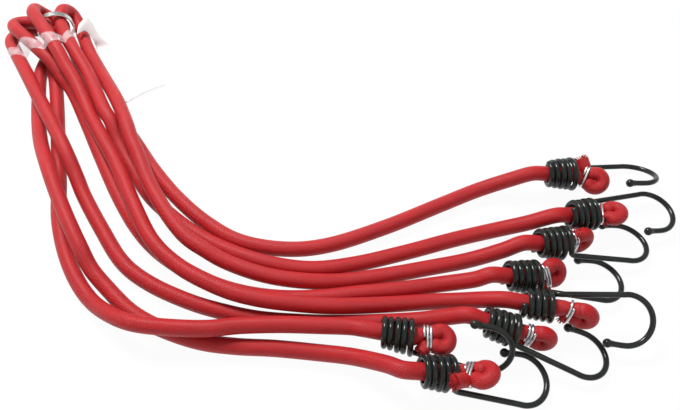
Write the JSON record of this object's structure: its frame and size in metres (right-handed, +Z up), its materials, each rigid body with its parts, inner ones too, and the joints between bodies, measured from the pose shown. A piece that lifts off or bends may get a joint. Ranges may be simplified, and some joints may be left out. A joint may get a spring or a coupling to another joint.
{
  "type": "octopus strap",
  "caption": "Red elastic cords folded in half and held by a steel ring, each arm ending in a black coated wire hook wound round the cord ahead of a clipped end loop.",
  "frame": {"origin": "middle of the strap's box on the surface that it lies on", "axes": "+X from the folded end towards the hooks, +Y away from the viewer, +Z up from the surface"},
  "size_m": [0.3772, 0.2544, 0.0288],
  "materials": {
    "cord_cover": "fine braided polyester",
    "cord_core": "natural rubber strands",
    "hook_wire": "gloss black plastic coating on spring wire",
    "tip_cap": "gloss black",
    "clip_steel": "bright drawn wire",
    "ring_steel": "bright plated",
    "tape": "clear film",
    "card": "coated white card, blank"
  },
  "bodies": {
    "strap": {"cord_a_cover": "cord_cover", "cord_b_cover": "cord_cover", "cord_c_cover": "cord_cover", "cord_d_cover": "cord_cover", "cord_a_core": "cord_core", "cord_b_core": "cord_core", "cord_c_core": "cord_core", "cord_d_core": "cord_core", "end_clip_1": "clip_steel", "end_clip_2": "clip_steel", "end_clip_3": "clip_steel", "end_clip_4": "clip_steel", "end_clip_5": "clip_steel", "end_clip_6": "clip_steel", "end_clip_7": "clip_steel", "end_clip_8": "clip_steel", "centre_ring": "ring_steel", "tape_band": "tape", "swing_tag": "card"},
    "hook_1": {"hook_1_wire": "hook_wire", "hook_1_tip_cap": "tip_cap"},
    "hook_2": {"hook_2_wire": "hook_wire", "hook_2_tip_cap": "tip_cap"},
    "hook_3": {"hook_3_wire": "hook_wire", "hook_3_tip_cap": "tip_cap"},
    "hook_4": {"hook_4_wire": "hook_wire", "hook_4_tip_cap": "tip_cap"},
    "hook_5": {"hook_5_wire": "hook_wire", "hook_5_tip_cap": "tip_cap"},
    "hook_6": {"hook_6_wire": "hook_wire", "hook_6_tip_cap": "tip_cap"},
    "hook_7": {"hook_7_wire": "hook_wire", "hook_7_tip_cap": "tip_cap"},
    "hook_8": {"hook_8_wire": "hook_wire", "hook_8_tip_cap": "tip_cap"}
  },
  "joints": [
    {"name": "hook_1_swivel", "type": "hinge", "parent": "strap", "child": "hook_1", "pos_m": [0.12482, -0.00589, 0.01204], "axis": [0.9956, 0.0522, -0.0785], "range_deg": [-90, 10]},
    {"name": "hook_2_swivel", "type": "hinge", "parent": "strap", "child": "hook_2", "pos_m": [0.13082, -0.03289, 0.01354], "axis": [0.9728, 0.1628, -0.165], "range_deg": [-80, 12]},
    {"name": "hook_3_swivel", "type": "hinge", "parent": "strap", "child": "hook_3", "pos_m": [0.11332, -0.04839, 0.01204], "axis": [0.9794, 0.1029, -0.1737], "range_deg": [-50, 3]},
    {"name": "hook_4_swivel", "type": "hinge", "parent": "strap", "child": "hook_4", "pos_m": [0.09582, -0.06639, 0.01204], "axis": [0.9842, 0.0344, -0.1736], "range_deg": [-90, 8]},
    {"name": "hook_5_swivel", "type": "hinge", "parent": "strap", "child": "hook_5", "pos_m": [0.10032, -0.08189, 0.01504], "axis": [0.9859, -0.165, -0.0262], "range_deg": [-80, 2]},
    {"name": "hook_6_swivel", "type": "hinge", "parent": "strap", "child": "hook_6", "pos_m": [0.08232, -0.09039, 0.01354], "axis": [0.9443, -0.2619, -0.1994], "range_deg": [-7, 1]},
    {"name": "hook_7_swivel", "type": "hinge", "parent": "strap", "child": "hook_7", "pos_m": [0.03582, -0.09489, 0.01204], "axis": [0.9829, -0.1822, -0.0262], "range_deg": [-3, 5]},
    {"name": "hook_8_swivel", "type": "hinge", "parent": "strap", "child": "hook_8", "pos_m": [0.05182, -0.11439, 0.01454], "axis": [0.9781, -0.0085, -0.2079], "range_deg": [0, 5]}
  ]
}
